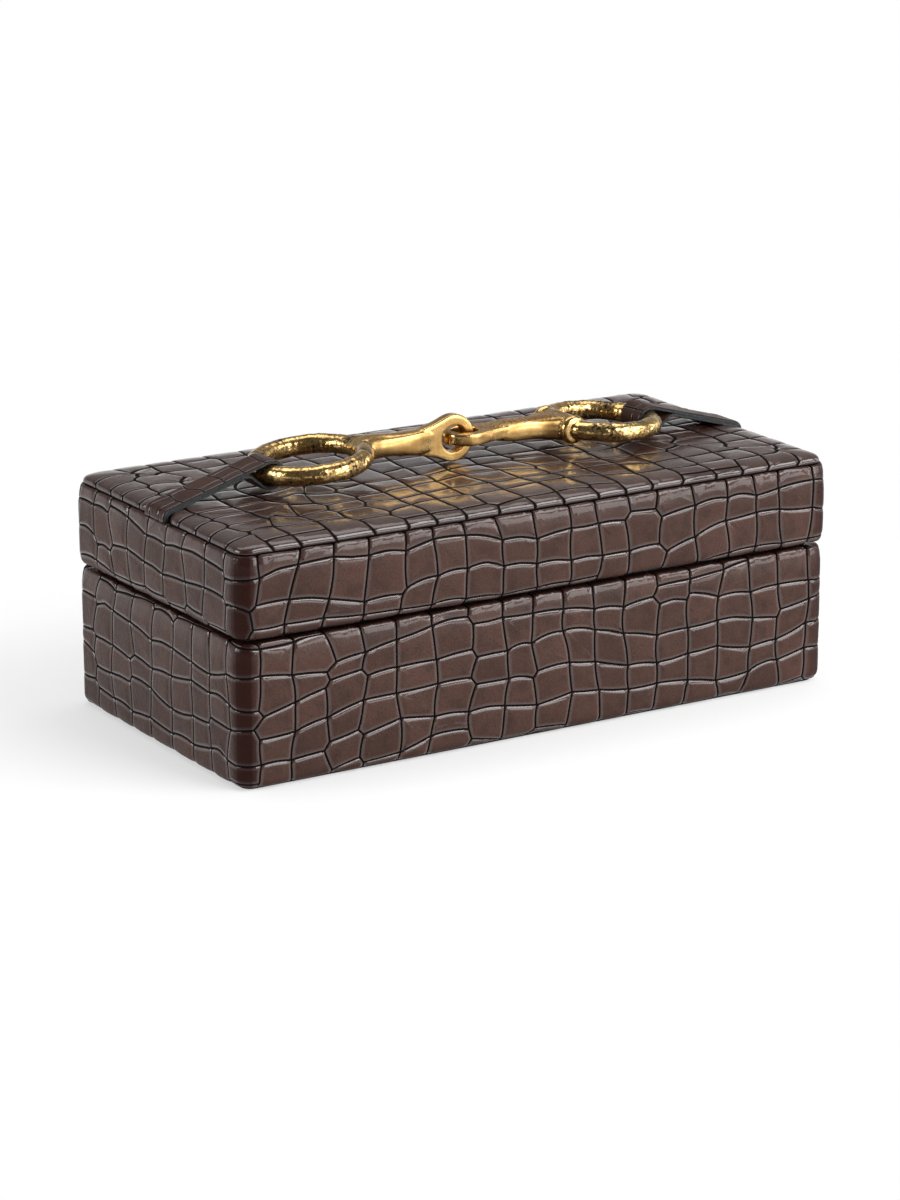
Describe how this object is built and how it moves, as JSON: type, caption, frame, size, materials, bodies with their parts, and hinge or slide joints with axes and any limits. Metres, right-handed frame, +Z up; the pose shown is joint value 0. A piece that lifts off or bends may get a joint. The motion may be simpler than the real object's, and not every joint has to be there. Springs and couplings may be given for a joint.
{
  "type": "storage box",
  "caption": "Rectangular leather-covered keepsake box with a padded lift-off lid; a linked snaffle bit in leather straps along the lid is the handle.",
  "frame": {"origin": "middle of the underside, on the surface that the box stands on", "axes": "+X along the length and the bit, +Y from the front to the back, +Z up"},
  "size_m": [0.3012, 0.1502, 0.1281],
  "materials": {
    "embossed_leather": "glossy, embossed in scales",
    "strap_leather": "glossy, embossed, with dark painted edges",
    "cast_brass": "polished casting with dark patina in the pits",
    "fibreboard": "raw board",
    "lining": "black suede cloth on card",
    "felt": "black felt",
    "foam": "thin upholstery foam"
  },
  "bodies": {
    "base": {"base_front_wall": "fibreboard", "base_back_wall": "fibreboard", "base_left_wall": "fibreboard", "base_right_wall": "fibreboard", "base_bottom_board": "fibreboard", "base_leather_wrap": "embossed_leather", "base_felt_sole": "felt", "base_floor_pad": "lining", "neck_front_panel": "lining", "neck_back_panel": "lining", "neck_left_panel": "lining", "neck_right_panel": "lining"},
    "lid": {"lid_front_wall": "fibreboard", "lid_back_wall": "fibreboard", "lid_left_wall": "fibreboard", "lid_right_wall": "fibreboard", "lid_top_board": "fibreboard", "lid_leather_band": "embossed_leather", "lid_foam_pad": "foam", "lid_top_leather": "embossed_leather", "lid_lining_front": "lining", "lid_lining_back": "lining", "lid_lining_left": "lining", "lid_lining_right": "lining", "lid_ceiling_panel": "lining", "left_strap": "strap_leather", "right_strap": "strap_leather"},
    "left_bit": {"left_bit_half": "cast_brass"},
    "right_bit": {"right_bit_half": "cast_brass"}
  },
  "joints": [
    {"name": "lid_lift", "type": "slide", "parent": "base", "child": "lid", "axis": [0, 0, 1], "range_m": [0, 0.12]},
    {"name": "left_bit_swing", "type": "hinge", "parent": "lid", "child": "left_bit", "pos_m": [-0.09755, 0, 0.1146], "axis": [0, -1, 0], "range_deg": [0, 8]},
    {"name": "right_bit_swing", "type": "hinge", "parent": "lid", "child": "right_bit", "pos_m": [0.10075, 0, 0.1134], "axis": [0, 1, 0], "range_deg": [0, 8]}
  ],
  "couplings": [
    {"joint": "right_bit_swing", "follows": "left_bit_swing", "ratio": 1}
  ]
}
